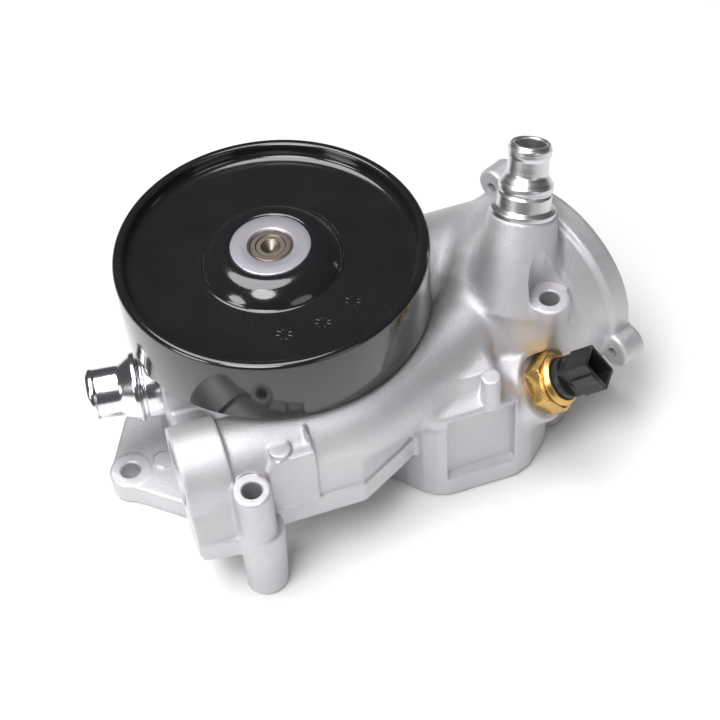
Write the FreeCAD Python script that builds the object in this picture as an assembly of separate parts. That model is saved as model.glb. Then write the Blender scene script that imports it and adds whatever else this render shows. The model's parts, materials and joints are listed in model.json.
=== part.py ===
# Engine coolant pump: a cast aluminium housing with a belt-driven rotor in a ball and roller bearing.
# Millimetres. The origin is on the rotor axis in the plane of the engine face, and +Z points away
# from the engine, towards the pulley. The long coolant pipe runs along X on the -Y side.
import FreeCAD, Part
import math
import os

V = FreeCAD.Vector
UP = V(0, 0, 1)
ALONG_X = V(1, 0, 0)

# ---- driving dimensions ----

# pulley
BELT_R = 70.0
PULLEY_BOTTOM = 82.0
PULLEY_TOP = 116.0
WEB_TOP = 109.0
SHEET = 3.0
HUB_FACE_R = 18.2
HUB_TOP = 117.0

# shaft and its bearing
SHAFT_R = 9.5
RACE_R = 19.0
RACE_BORE_R = 15.7
RACE_BOTTOM = 48.0
RACE_TOP = 100.0
PITCH_R = 12.5
BALL_R = 3.2
BALL_COUNT = 9
BALL_Z = 88.0
ROLLER_R = 2.9
ROLLER_LENGTH = 14.0
ROLLER_COUNT = 10
ROLLER_Z = 62.0
CAGE_WALL = 0.8
CAGE_CLEARANCE = 0.35

# impeller and its chamber
IMPELLER_R = 33.0
IMPELLER_BOTTOM = 4.0
IMPELLER_TOP = 22.0
VANE_COUNT = 7
CHAMBER_R = 37.0
CHAMBER_TOP = 24.5

# housing castings
VOLUTE_R = 47.0
VOLUTE_TOP = 50.0
TOWER_R = 26.0
TOWER_TOP = 99.0
LOWER_TOP = 62.0
LOWER_FRONT = -74.4
SKIRT_FRONT = -83.4
CORNER_FRONT = -89.6
SKIRT_BOTTOM = 28.5
PARTING_Z = 40.5
WALL = 4.0
REAR_DUCT_R = 35.0
REAR_DUCT_Z = 46.0

# front coolant pipe and its collar
PIPE_Y = -64.0
PIPE_Z = 61.0
PIPE_R = 18.0
PIPE_BORE_R = 13.5
PIPE_BEND_X = 24.0
PIPE_HEADING = 31.0
PIPE_BEND_R = 75.0
COLLAR_R = 20.5
COLLAR_LEFT = -66.0
COLLAR_RIGHT = -45.0
PORT_BORE_R = 15.0
PORT_DEPTH = 16.0
PORT_SEAL_SECTION = 1.4

# thermostat dome, whose axis is level and turned from X
DOME_FACE = V(135.5, -0.5, 52.0)
DOME_AZIMUTH = 25.0
DOME_RIM_R = 48.0
DOME_RIM_WIDTH = 11.0
DOME_BORE_R = 40.0
DOME_BORE_DEPTH = 10.0
EAR_ORBIT_R = 51.0
EAR_R = 8.8
EAR_ANGLES = (56.0, 193.0, 304.0)
EAR_THREAD_R = 2.5
FACE_SEAL_R = 43.0
FACE_SEAL_SECTION = 1.5

# bolt bosses
BOLT_HOLE_R = 4.5
BOSS_A = V(-39.0, -89.0, 0)
BOSS_A_R = 8.5
BOSS_A_TOP = 68.0
BOSS_B = V(114.8, -43.7, 0)
BOSS_B_R = 9.5
BOSS_B_TOP = 82.0
LUG = V(-83.1, -16.4, 0)
LUG_R = 10.0
LUG_TOP = 12.0
DOWEL_R = 6.5
DOWEL_DEPTH = 5.0
DOWEL_BORE_R = 5.1

# seals in grooves
GASKET_OUTER = 44.5
GASKET_INNER = 41.0
GASKET_DEPTH = 3.0

# spigots
HEATER_SEAT = V(113.3, -13.8, 109.0)
HEATER_AXIS = V(0.228, 0.331, 0.916)
HEATER_BOSS_R = 15.6
RETURN_TIP = V(-92.7, 4.2, 48.0)
RETURN_AXIS = V(-0.9925, 0.122, 0)

# temperature sensor
SENSOR_SEAT = V(104.4, -61.8, 45.1)
SENSOR_AXIS = V(0.644, -0.443, 0.624)
SENSOR_WIDTH_AXIS = V(0.477, -0.407, -0.779)
HEX_ACROSS_FLATS = 25.0
SENSOR_BOSS_R = 16.5


# ---- helpers ----

def cylinder(radius, bottom, top, x=0.0, y=0.0):
    return Part.makeCylinder(radius, top - bottom, V(x, y, bottom))


def rod(radius, start, axis, length):
    return Part.makeCylinder(radius, length, start, axis)


def revolve(outline, start=V(0, 0, 0), axis=UP):
    """Turn (radius, height) points about an axis through start."""
    points = [V(radius, 0, height) for radius, height in outline]
    points.append(points[0])
    solid = Part.Face(Part.makePolygon(points)).revolve(V(0, 0, 0), UP, 360)
    solid.Placement = FreeCAD.Placement(start, FreeCAD.Rotation(UP, axis))
    return solid


def prism(outline, bottom, top):
    points = [V(x, y, bottom) for x, y in outline]
    points.append(points[0])
    return Part.Face(Part.makePolygon(points)).extrude(V(0, 0, top - bottom))


def capsule(start, end, radius, bottom, top):
    """A slab with round ends, between two points seen from above."""
    side = (end - start).cross(UP).normalize() * radius
    corners = [start + side, end + side, end - side, start - side]
    slab = prism([(p.x, p.y) for p in corners], bottom, top)
    ends = [cylinder(radius, bottom, top, p.x, p.y) for p in (start, end)]
    return slab.fuse(ends).removeSplitter()


def polar(radius, degrees, height=0.0):
    angle = math.radians(degrees)
    return V(radius * math.cos(angle), radius * math.sin(angle), height)


def ring(outer, inner, bottom, top):
    return cylinder(outer, bottom, top).cut(cylinder(inner, bottom - 1, top + 1))


def joined(shapes):
    whole = shapes[0]
    for shape in shapes[1:]:
        whole = whole.fuse(shape)
    return whole


def save(name, shape):
    solids = shape.Solids
    if len(solids) == 1:
        shape = solids[0]
    else:
        shape = Part.makeCompound(solids)
    print(name, len(solids), "solid", round(shape.Volume / 1000, 2), "cm3", shape.isValid())
    shape.exportStep("parts/" + name + ".step")


# ---- housing ----

DOME_NORMAL = polar(1, DOME_AZIMUTH)
DOME_TURN = polar(1, DOME_AZIMUTH + 90)
HEATER_AXIS.normalize()
RETURN_AXIS.normalize()
SENSOR_AXIS.normalize()


def pipe_route():
    """A level line along X, one bend and a line towards the dome."""
    heading = math.radians(PIPE_HEADING)
    reach = PIPE_BEND_R * math.tan(heading / 2)
    corner = V(PIPE_BEND_X, PIPE_Y, PIPE_Z)
    onward = V(math.cos(heading), math.sin(heading), 0)
    bend_start = corner - ALONG_X * reach
    bend_end = corner + onward * reach
    bisector = onward - ALONG_X
    bisector.normalize()
    depth = PIPE_BEND_R * (1 / math.cos(heading / 2) - 1)
    middle = corner + bisector * depth
    finish = corner + onward * 92.0
    return bend_start, middle, bend_end, finish


def swept_pipe(radius, start_x):
    bend_start, middle, bend_end, finish = pipe_route()
    start = V(start_x, PIPE_Y, PIPE_Z)
    edges = [
        Part.LineSegment(start, bend_start).toShape(),
        Part.Arc(bend_start, middle, bend_end).toShape(),
        Part.LineSegment(bend_end, finish).toShape(),
    ]
    section = Part.Wire(Part.makeCircle(radius, start, ALONG_X))
    return Part.Wire(edges).makePipeShell([section], True, False)


def dome_point(out, across, height):
    """A point given by its distance out of the dome's face, across it and above its centre."""
    return DOME_FACE + DOME_NORMAL * out + DOME_TURN * across + UP * height


def dome_solid(offset):
    """The dome's outer shape, or its cavity when offset is a wall thickness."""
    rim = DOME_RIM_WIDTH
    profile = [
        (0, -70 + offset), (22 - offset, -65 + offset), (31 - offset, -58.5 + offset),
        (38 - offset, -49), (42.5 - offset, -38), (45 - offset, -27), (DOME_RIM_R - 2 - offset, -16),
        (DOME_RIM_R - 2 - offset, -rim), (DOME_RIM_R - 2 - offset, -1), (0, -1),
    ]
    return revolve(profile, DOME_FACE, DOME_NORMAL)


def ear(angle):
    """A screw boss on the dome's rim."""
    across = EAR_ORBIT_R * math.cos(math.radians(angle))
    height = EAR_ORBIT_R * math.sin(math.radians(angle))
    start = dome_point(-DOME_RIM_WIDTH - 2, across, height)
    boss = rod(EAR_R, start, DOME_NORMAL, DOME_RIM_WIDTH + 2)
    root = dome_point(-DOME_RIM_WIDTH - 2, across * 0.8, height * 0.8)
    web = rod(EAR_R, root, DOME_NORMAL, DOME_RIM_WIDTH + 2)
    return boss.fuse(web)


def ear_hole(angle):
    across = EAR_ORBIT_R * math.cos(math.radians(angle))
    height = EAR_ORBIT_R * math.sin(math.radians(angle))
    start = dome_point(-DOME_RIM_WIDTH - 3, across, height)
    return rod(EAR_THREAD_R, start, DOME_NORMAL, DOME_RIM_WIDTH + 4)


def lower_body():
    front = LOWER_FRONT
    outline = [
        (30, -30), (34, -55), (38, -62), (44, -69), (50, -73), (55, front), (88, front),
        (96, -71), (108, -60), (116, -46), (112, 8), (60, 30), (30, 20),
    ]
    body = prism(outline, 0, LOWER_TOP)
    window = Part.makeBox(34, 2.2, 40, V(52, front - 0.2, 14))
    ledge = Part.makeWedge(0, 0, 0, 0, 0, 2.2, 5, 34, 0, 34)
    ledge.translate(V(52, front, 12))
    return body.cut(window).fuse(ledge)


def skirt():
    """The flat-sided foot under the pipe, with the parting step along it."""
    outline = [
        (COLLAR_LEFT, -60), (COLLAR_LEFT, SKIRT_FRONT), (12, SKIRT_FRONT), (34, -71),
        (48, -62), (48, -40), (0, -40),
    ]
    lower = prism(outline, SKIRT_BOTTOM, PARTING_Z)
    inset = [(x, y + 1.0) if y < -60 else (x, y) for x, y in outline]
    return lower.fuse(prism(inset, PARTING_Z, PIPE_Z - 4))


def front_block():
    outline = [(-30.3, 40), (-8.4, 40), (-8.4, 73.5), (-25.8, 73.5), (-30.3, 67.4)]
    points = [V(x, SKIRT_FRONT, z) for x, z in outline]
    points.append(points[0])
    return Part.Face(Part.makePolygon(points)).extrude(V(0, 18, 0))


def collar_side():
    """The wall under the collar, leaning out to the parting line."""
    wall = Part.makePolygon([
        V(COLLAR_LEFT, PIPE_Y, SKIRT_BOTTOM), V(COLLAR_LEFT, PIPE_Y, PIPE_Z),
        V(COLLAR_LEFT, PIPE_Y - COLLAR_R, PIPE_Z), V(COLLAR_LEFT, PIPE_Y - COLLAR_R, PIPE_Z - 5),
        V(COLLAR_LEFT, CORNER_FRONT, PARTING_Z), V(COLLAR_LEFT, CORNER_FRONT, SKIRT_BOTTOM),
        V(COLLAR_LEFT, PIPE_Y, SKIRT_BOTTOM),
    ])
    return Part.Face(wall).extrude(ALONG_X * (COLLAR_RIGHT - COLLAR_LEFT + 5))


def left_corner():
    """The foot corner in front of the collar, flowing round the bolt boss."""
    outline = [(COLLAR_LEFT, -70), (-65.2, -89.9), (-47.2, -92.6), (-33, -88), (-30, -70)]
    return prism(outline, SKIRT_BOTTOM, PARTING_Z)


def lug_plate():
    root = V(-60, -22, 0)
    plate = capsule(LUG, root, LUG_R, 0, LUG_TOP)
    outline = [(-78, 16), (-40, 30), (-40, -52), (-62, -46), (LUG.x - 2, LUG.y - LUG_R + 0.3),
               (LUG.x - LUG_R + 0.3, LUG.y + 2)]
    return plate.fuse(prism(outline, 0, LUG_TOP))


def volute():
    drum = cylinder(VOLUTE_R, 0, VOLUTE_TOP)
    cone = Part.makeCone(VOLUTE_R - 4, TOWER_R, 22, V(0, 0, VOLUTE_TOP))
    tower = cylinder(TOWER_R, VOLUTE_TOP, TOWER_TOP)
    bridge = prism([(0, -45), (60, -62), (60, 30), (0, 45)], 0, VOLUTE_TOP)
    return joined([drum, cone, tower, bridge])


def rear_duct():
    """The chamber that joins the dome to the volute behind the pulley."""
    return rod(REAR_DUCT_R, V(35, 13, REAR_DUCT_Z), ALONG_X, 82)


def heater_boss():
    foot = HEATER_SEAT - HEATER_AXIS * 48
    return rod(HEATER_BOSS_R, foot, HEATER_AXIS, 48)


def return_boss():
    start = RETURN_TIP - RETURN_AXIS * 33.6
    boss = rod(17.0, start, -RETURN_AXIS, 24)
    wall = prism([(-60, 14), (-34, 24), (-34, -52), (-60, -52)], 0, 46)
    return boss.fuse(wall)


def sensor_boss():
    return rod(SENSOR_BOSS_R, SENSOR_SEAT - SENSOR_AXIS * 26, SENSOR_AXIS, 26)


def casting_marks():
    """The round pads, the small fin and the stub that the mould leaves."""
    pad = cylinder(4.9, 60, 75.5, -22.6, -77.5)
    stub = cylinder(4.6, 50, 75.0, 76.0, -71.5)
    lug_pad = cylinder(5.0, LUG_TOP, LUG_TOP + 0.6, -66.9, -16.2)
    fin = Part.makeBox(1.6, 8, 8, V(-10.5, SKIRT_FRONT + 6, 70))
    return [pad, stub, lug_pad, fin]


def housing_solids():
    boss_a = cylinder(BOSS_A_R, 0, BOSS_A_TOP, BOSS_A.x, BOSS_A.y)
    boss_b = cylinder(BOSS_B_R, 0, BOSS_B_TOP, BOSS_B.x, BOSS_B.y)
    collar = rod(COLLAR_R, V(COLLAR_LEFT, PIPE_Y, PIPE_Z), ALONG_X, COLLAR_RIGHT - COLLAR_LEFT)
    rim = rod(DOME_RIM_R, dome_point(-DOME_RIM_WIDTH, 0, 0), DOME_NORMAL, DOME_RIM_WIDTH)
    solids = [dome_solid(0), rim, rear_duct(), volute(), lower_body(), skirt(), front_block(),
              left_corner(), lug_plate(), swept_pipe(PIPE_R, COLLAR_LEFT + 1), collar, collar_side(),
              heater_boss(), return_boss(), sensor_boss(), boss_a, boss_b]
    return solids + [ear(angle) for angle in EAR_ANGLES] + casting_marks()


def housing_cavities():
    chamber = cylinder(CHAMBER_R, -1, CHAMBER_TOP)
    seal_seat = cylinder(16.0, 20, 36)
    drain = cylinder(13.0, 20, RACE_BOTTOM + 1)
    race_seat = cylinder(RACE_R, RACE_BOTTOM, TOWER_TOP + 1)
    pulley_room = ring(BELT_R + 3, TOWER_R, PULLEY_BOTTOM - 1.5, PULLEY_TOP + 4)
    port = rod(PORT_BORE_R, V(COLLAR_LEFT - 1, PIPE_Y, PIPE_Z), ALONG_X, PORT_DEPTH + 1)
    mouth = rod(DOME_BORE_R, dome_point(-DOME_BORE_DEPTH, 0, 0), DOME_NORMAL, 20)
    heater = rod(12.5, HEATER_SEAT - HEATER_AXIS * 14, HEATER_AXIS, 20)
    heater_way = rod(8.0, HEATER_SEAT - HEATER_AXIS * 40, HEATER_AXIS, 42)
    back = rod(12.0, RETURN_TIP - RETURN_AXIS * 30, -RETURN_AXIS, 18)
    sensor = rod(6.9, SENSOR_SEAT - SENSOR_AXIS * 24, SENSOR_AXIS, 30)
    screw_head_room = cylinder(BOSS_B_R + 1, BOSS_B_TOP, 130, BOSS_B.x, BOSS_B.y)
    gasket_groove = ring(GASKET_OUTER, GASKET_INNER, -1, GASKET_DEPTH)
    cavities = [
        gasket_groove, port_seal_ring(), face_seal_ring(), chamber, seal_seat, drain, race_seat,
        pulley_room, port, mouth, heater, heater_way, back, sensor, spanner_room(), screw_head_room,
        swept_pipe(PIPE_BORE_R, COLLAR_LEFT + 2), dome_solid(WALL + 2),
    ]
    return cavities + hidden_rooms() + [ear_hole(angle) for angle in EAR_ANGLES]


def bolt_holes():
    """Three clearance holes through the pump, two of them with room for a dowel, and the cuts
    that keep the column beside the sensor clear of its spanner."""
    holes = [cylinder(BOLT_HOLE_R, -1, 130, p.x, p.y) for p in (BOSS_A, BOSS_B, LUG)]
    dowels = [cylinder(DOWEL_R, -1, DOWEL_DEPTH, p.x, p.y) for p in (BOSS_A, BOSS_B)]
    return holes + dowels + [spanner_room()]


def spanner_room():
    return rod(HEX_ACROSS_FLATS / 2 + 2.7, SENSOR_SEAT, SENSOR_AXIS, 40)


def hidden_rooms():
    """Water rooms inside the lower body and the rear duct, open to the engine face."""
    lower = prism([(38, -50), (56, -68), (84, -68), (92, -54), (104, -20), (60, 8), (40, -6)],
                  -1, LOWER_TOP - 14)
    duct = rod(REAR_DUCT_R - WALL - 1, V(48, 13, REAR_DUCT_Z), ALONG_X, 62)
    return [lower, duct]


def main_housing():
    body = joined(housing_solids())
    for cavity in housing_cavities():
        body = body.cut(cavity)
    body = body.fuse(cylinder(BOSS_B_R, 0, BOSS_B_TOP, BOSS_B.x, BOSS_B.y))
    for hole in bolt_holes():
        body = body.cut(hole)
    return max(body.Solids, key=lambda solid: solid.Volume)


# ---- seals and inserts of the housing ----

def volute_gasket():
    """The moulded ring in the engine face, round the impeller chamber."""
    return ring(GASKET_OUTER, GASKET_INNER, 0, GASKET_DEPTH - 0.4)


def port_seal_ring():
    return Part.makeTorus(PORT_BORE_R, PORT_SEAL_SECTION, V(COLLAR_LEFT + 8, PIPE_Y, PIPE_Z), ALONG_X)


def face_seal_ring():
    return Part.makeTorus(FACE_SEAL_R, FACE_SEAL_SECTION, dome_point(-0.2, 0, 0), DOME_NORMAL)


def port_seal():
    """The ring in the port's groove, drawn squeezed flush as a plugged-in pipe leaves it."""
    pipe = rod(PORT_BORE_R + 0.03, V(COLLAR_LEFT, PIPE_Y, PIPE_Z), ALONG_X, PORT_DEPTH)
    return port_seal_ring().cut(pipe)


def locating_dowels():
    """Two hollow dowels standing out of the engine face round the bolts."""
    sleeves = [ring(DOWEL_R, DOWEL_BORE_R, 0, DOWEL_DEPTH - 0.2) for _ in range(2)]
    for sleeve, place in zip(sleeves, (BOSS_A, BOSS_B)):
        sleeve.translate(place)
    return Part.makeCompound(sleeves)


def heater_spigot():
    """A turned hose spigot, pressed into its boss: bead, neck, cone, groove and collar."""
    profile = [
        (7.0, -12), (12.5, -12), (12.5, 0), (15.0, 0), (15.0, 2.4), (12.2, 3.2), (12.2, 9.4),
        (11.2, 10.0), (11.2, 11.4), (12.4, 12.0), (12.4, 14.2), (9.6, 18.6), (9.3, 19.4),
        (9.3, 26.4), (9.9, 27.8), (9.9, 31.0), (8.8, 33.0), (7.4, 33.0), (7.0, 32.2),
    ]
    return revolve(profile, HEATER_SEAT, HEATER_AXIS)


def return_spigot():
    """The bright hose spigot on the left: bead, neck, cone, groove and seat."""
    profile = [
        (8.6, -40), (12.0, -40), (12.0, -34.0), (15.8, -33.6), (15.8, -26.6), (14.8, -26.0),
        (14.8, -24.4), (16.8, -23.8), (16.8, -21.6), (12.4, -15.4), (12.0, -14.2), (12.0, -4.0),
        (12.4, -3.2), (12.4, -1.6), (11.2, 0.0), (9.4, 0.0), (8.6, -0.8),
    ]
    return revolve(profile, RETURN_TIP, RETURN_AXIS)


# ---- temperature sensor ----

def sensor_body():
    """Brass: probe, thread, hexagon and the round shoulder that holds the moulding."""
    half = HEX_ACROSS_FLATS / 2
    corner = half / math.cos(math.radians(30))
    hexagon = prism([(polar(corner, 60 * k).x, polar(corner, 60 * k).y) for k in range(6)], 1.5, 10.0)
    chamfer = Part.makeCone(corner + 4.2, half + 0.2, 7.4, V(0, 0, 3.4))
    lower = cylinder(corner + 6, 0, 3.4)
    hexagon = hexagon.common(chamfer.fuse(lower))
    shank = revolve([(0, -32), (3.0, -32), (3.5, -30), (3.5, -16), (6.8, -14), (6.8, 1.5), (0, 1.5)])
    shoulder = revolve([(0, 9), (12.0, 9), (12.0, 11.4), (10.8, 13.4), (9.9, 13.4), (9.9, 12), (0, 12)])
    return place_on_sensor(joined([hexagon, shank, shoulder]))


def place_on_sensor(shape):
    """Stand a shape, made along +Z, on the sensor seat with its +X along the connector's width."""
    width = V(SENSOR_WIDTH_AXIS.x, SENSOR_WIDTH_AXIS.y, SENSOR_WIDTH_AXIS.z)
    width = width - SENSOR_AXIS * width.dot(SENSOR_AXIS)
    width.normalize()
    depth = SENSOR_AXIS.cross(width)
    turn = FreeCAD.Matrix(
        width.x, depth.x, SENSOR_AXIS.x, SENSOR_SEAT.x,
        width.y, depth.y, SENSOR_AXIS.y, SENSOR_SEAT.y,
        width.z, depth.z, SENSOR_AXIS.z, SENSOR_SEAT.z,
    )
    shape.Placement = FreeCAD.Placement(turn)
    return shape


def sensor_washer():
    return place_on_sensor(ring(11.5, 7.0, 0.0, 1.5))


def sensor_connector():
    """Black moulding: round base and an oblong socket, open at its outer end."""
    base = cylinder(9.7, 12, 16.6)
    neck = Part.makeBox(16.0, 12.0, 12.0, V(-8.0, -6.0, 16.0))
    socket = Part.makeBox(17.6, 13.0, 11.0, V(-8.8, -6.5, 22.0))
    key = Part.makeBox(5.0, 1.2, 11.5, V(-2.5, -7.7, 21.5))
    hollow = Part.makeBox(14.4, 9.8, 9.5, V(-7.2, -4.9, 23.8))
    return place_on_sensor(joined([base, neck, socket, key]).cut(hollow))


def sensor_terminals():
    blades = [Part.makeBox(0.8, 2.4, 4.0, V(x - 0.4, -1.2, 23.8)) for x in (-3.2, 3.2)]
    return place_on_sensor(Part.makeCompound(blades))


# ---- bearing ----

def bearing_outer_race():
    race = ring(RACE_R, RACE_BORE_R - 0.3, RACE_BOTTOM, RACE_TOP)
    race = race.cut(Part.makeTorus(PITCH_R, BALL_R + 0.15, V(0, 0, BALL_Z)))
    track = ring(RACE_BORE_R, 1, ROLLER_Z - ROLLER_LENGTH / 2 - 1, ROLLER_Z + ROLLER_LENGTH / 2 + 1)
    seats = [ring(16.6, 1, RACE_BOTTOM - 1, RACE_BOTTOM + 3.6), ring(16.6, 1, RACE_TOP - 3.6, RACE_TOP + 1)]
    return race.cut(track.fuse(seats))


def bearing_seal(bottom):
    """A lip seal whose lip stops just clear of the shaft."""
    return ring(16.6, SHAFT_R + 0.3, bottom, bottom + 3.0)


def bearing_balls():
    balls = []
    for k in range(BALL_COUNT):
        centre = polar(PITCH_R, 360 * k / BALL_COUNT, BALL_Z)
        balls.append(Part.makeSphere(BALL_R, centre))
    return Part.makeCompound(balls)


def ball_cage():
    cage = ring(PITCH_R + CAGE_WALL, PITCH_R - CAGE_WALL, BALL_Z - 4.6, BALL_Z + 4.6)
    for k in range(BALL_COUNT):
        outward = polar(1, 360 * k / BALL_COUNT)
        cage = cage.cut(rod(BALL_R + CAGE_CLEARANCE, V(0, 0, BALL_Z), outward, 2 * PITCH_R))
    return cage


def bearing_rollers():
    rollers = []
    for k in range(ROLLER_COUNT):
        foot = polar(PITCH_R, 360 * k / ROLLER_COUNT, ROLLER_Z - ROLLER_LENGTH / 2)
        rollers.append(Part.makeCylinder(ROLLER_R, ROLLER_LENGTH, foot))
    return Part.makeCompound(rollers)


def roller_cage():
    reach = ROLLER_LENGTH / 2
    cage = ring(PITCH_R + CAGE_WALL, PITCH_R - CAGE_WALL, ROLLER_Z - reach - 1.8, ROLLER_Z + reach + 1.8)
    for k in range(ROLLER_COUNT):
        foot = polar(PITCH_R, 360 * k / ROLLER_COUNT, ROLLER_Z - reach - CAGE_CLEARANCE)
        cage = cage.cut(Part.makeCylinder(ROLLER_R + CAGE_CLEARANCE,
                                          ROLLER_LENGTH + 2 * CAGE_CLEARANCE, foot))
    return cage


# ---- coolant seal ----

def seal_cup():
    """Pressed brass cup that holds the still half of the coolant seal."""
    return revolve([(13.2, 26), (16.0, 26), (16.0, 36), (12.0, 36), (12.0, 35), (15.0, 35), (15.0, 27),
                    (13.2, 27)])


def seal_spring():
    """A coil spring between the cup and the carbon ring."""
    helix = Part.makeHelix(2.3, 5.6, 13.2)
    section = Part.Wire(Part.makeCircle(0.6, V(13.2, 0, 0), V(0, 1, 0)))
    spring = Part.Wire(helix).makePipeShell([section], True, True)
    spring.translate(V(0, 0, 28.8))
    return spring


def seal_bellows():
    """Rubber sleeve inside the spring."""
    return revolve([(10.4, 27.2), (12.2, 27.2), (12.2, 29), (11.4, 30.5), (12.2, 32), (11.8, 34.8),
                    (10.4, 34.8)])


def carbon_ring():
    return ring(12.8, 10.2, 25.0, 27.0)


# ---- rotor ----

def pump_shaft():
    """Ground shaft with a shallow ball track, chamfered ends and a centre drilling."""
    shaft = revolve([
        (0, 5), (SHAFT_R - 1, 5), (SHAFT_R, 6), (SHAFT_R, 115.4), (SHAFT_R - 1, 116.4),
        (6.6, 116.4), (6.2, 116.0), (4.4, 116.0), (3.6, 115.2), (0, 113.0),
    ])
    return shaft.cut(Part.makeTorus(PITCH_R, BALL_R + 0.15, V(0, 0, BALL_Z)))


def pulley():
    """Pressed steel pulley: smooth belt band, rolled rim, flat web and raised centre."""
    inner = BELT_R - SHEET
    floor = WEB_TOP - SHEET
    profile = [
        (HUB_FACE_R, HUB_TOP), (21.5, HUB_TOP - 0.1), (24.4, HUB_TOP - 1.4), (28.6, WEB_TOP + 1.6),
        (31.5, WEB_TOP), (61.5, WEB_TOP), (64.0, WEB_TOP + 1.2), (65.0, WEB_TOP + 3.4),
        (65.4, PULLEY_TOP - 0.8), (66.4, PULLEY_TOP), (68.6, PULLEY_TOP), (BELT_R, PULLEY_TOP - 1.2),
        (BELT_R, PULLEY_BOTTOM + 0.6),
        (BELT_R - 0.6, PULLEY_BOTTOM), (inner + 0.6, PULLEY_BOTTOM), (inner, PULLEY_BOTTOM + 0.6),
        (inner, floor - 2.0), (inner - 2.0, floor), (30.6, floor), (26.6, floor + 2.4),
        (22.6, HUB_TOP - 4.2), (20.8, HUB_TOP - 3.2), (HUB_FACE_R, HUB_TOP - 3.2),
    ]
    return revolve(profile)


def pulley_hub():
    """Steel hub pressed on the shaft, with the flange that the pulley is welded to."""
    return revolve([
        (SHAFT_R, 102.0), (15.0, 102.0), (15.0, 104.5), (25.0, 104.5), (25.8, 105.4), (25.8, 107.0),
        (21.6, HUB_TOP - 5.0), (HUB_FACE_R, HUB_TOP - 3.4), (HUB_FACE_R, HUB_TOP - 0.4),
        (HUB_FACE_R - 0.4, HUB_TOP), (SHAFT_R + 0.6, HUB_TOP), (SHAFT_R, HUB_TOP - 0.6),
    ])


def impeller():
    """Back plate with curved vanes below it, pressed on the shaft."""
    plate = ring(IMPELLER_R, SHAFT_R, IMPELLER_TOP - 3.0, IMPELLER_TOP)
    hub = ring(14.5, SHAFT_R, IMPELLER_BOTTOM + 1.0, IMPELLER_TOP)
    vanes = []
    for k in range(VANE_COUNT):
        arc = ring(26.0, 24.0, IMPELLER_BOTTOM, IMPELLER_TOP)
        arc.translate(polar(22.0, 360 * k / VANE_COUNT))
        reach = cylinder(IMPELLER_R - 0.5, IMPELLER_BOTTOM - 1, IMPELLER_TOP + 1)
        side = Part.makeBox(80, 80, 40, V(-0.001, 0, -5))
        side.rotate(V(0, 0, 0), UP, 360 * k / VANE_COUNT)
        vanes.append(arc.common(reach).common(side).cut(cylinder(13.0, 0, 40)))
    return joined([plate, hub] + vanes)


def seal_mating_ring():
    """Hard ring on the shaft that the carbon ring rubs on."""
    return ring(14.0, SHAFT_R, 22.4, 24.7)


def slinger():
    """Disc on the shaft that throws leaked coolant clear of the bearing."""
    return revolve([(SHAFT_R, 41.0), (12.2, 41.0), (12.2, 42.0), (10.6, 43.5), (SHAFT_R, 43.5)])


os.makedirs("parts", exist_ok=True)
save("main_housing", main_housing())
save("volute_gasket", volute_gasket())
save("locating_dowels", locating_dowels())
save("port_seal", port_seal())
save("thermostat_seal", face_seal_ring())
save("heater_spigot", heater_spigot())
save("return_spigot", return_spigot())
save("sensor_body", sensor_body())
save("sensor_washer", sensor_washer())
save("sensor_connector", sensor_connector())
save("sensor_terminals", sensor_terminals())
save("bearing_outer_race", bearing_outer_race())
save("bearing_seal_front", bearing_seal(RACE_TOP - 3.3))
save("bearing_seal_rear", bearing_seal(RACE_BOTTOM + 0.3))
save("bearing_balls", bearing_balls())
save("ball_cage", ball_cage())
save("bearing_rollers", bearing_rollers())
save("roller_cage", roller_cage())
save("seal_cup", seal_cup())
save("seal_spring", seal_spring())
save("seal_bellows", seal_bellows())
save("carbon_ring", carbon_ring())
save("pump_shaft", pump_shaft())
save("pulley", pulley())
save("pulley_hub", pulley_hub())
save("impeller", impeller())
save("seal_mating_ring", seal_mating_ring())
save("slinger", slinger())
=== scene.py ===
# Looks for the engine coolant pump: a filleted aluminium casting, a gloss black pulley, turned
# spigots and a brass temperature sensor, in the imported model's frame. Blender objects are in metres.
# The casting's outer shape is worked out in millimetres as a distance field, then turned into a mesh.
import json
import math

import bmesh
import bpy
import numpy as np
import openvdb
from mathutils import Matrix, Vector


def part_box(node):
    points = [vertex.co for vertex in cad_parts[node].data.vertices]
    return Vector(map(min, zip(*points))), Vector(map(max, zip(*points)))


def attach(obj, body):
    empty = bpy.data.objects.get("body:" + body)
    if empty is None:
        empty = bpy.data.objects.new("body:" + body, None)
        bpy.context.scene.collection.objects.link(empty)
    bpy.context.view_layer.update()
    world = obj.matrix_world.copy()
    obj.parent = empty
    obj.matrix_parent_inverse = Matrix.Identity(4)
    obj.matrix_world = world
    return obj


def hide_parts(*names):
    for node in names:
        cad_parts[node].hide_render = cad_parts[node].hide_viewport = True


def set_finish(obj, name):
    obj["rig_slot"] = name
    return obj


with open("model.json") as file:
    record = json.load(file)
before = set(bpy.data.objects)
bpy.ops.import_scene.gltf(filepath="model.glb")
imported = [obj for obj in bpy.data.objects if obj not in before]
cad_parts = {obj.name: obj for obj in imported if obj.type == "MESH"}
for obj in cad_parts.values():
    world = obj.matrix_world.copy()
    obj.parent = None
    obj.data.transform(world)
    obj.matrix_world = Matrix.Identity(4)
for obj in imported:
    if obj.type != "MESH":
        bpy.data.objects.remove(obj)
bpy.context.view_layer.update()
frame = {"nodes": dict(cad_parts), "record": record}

MM = 0.001
UP = Vector((0, 0, 1))
ALONG_X = Vector((1, 0, 0))

# ---- places and sizes, in millimetres, from the frame's mounts and nodes where they give them ----

MOUNTS = {mount["name"]: mount for mount in frame["record"]["mounts"]}


def mount_place(name):
    return Vector(MOUNTS[name]["pos_m"]) / MM


def mount_axis(name):
    return Vector(MOUNTS[name]["axis"]).normalized()


def node_low(name):
    return Vector(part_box(name)[0]) / MM


def node_high(name):
    return Vector(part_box(name)[1]) / MM


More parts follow.
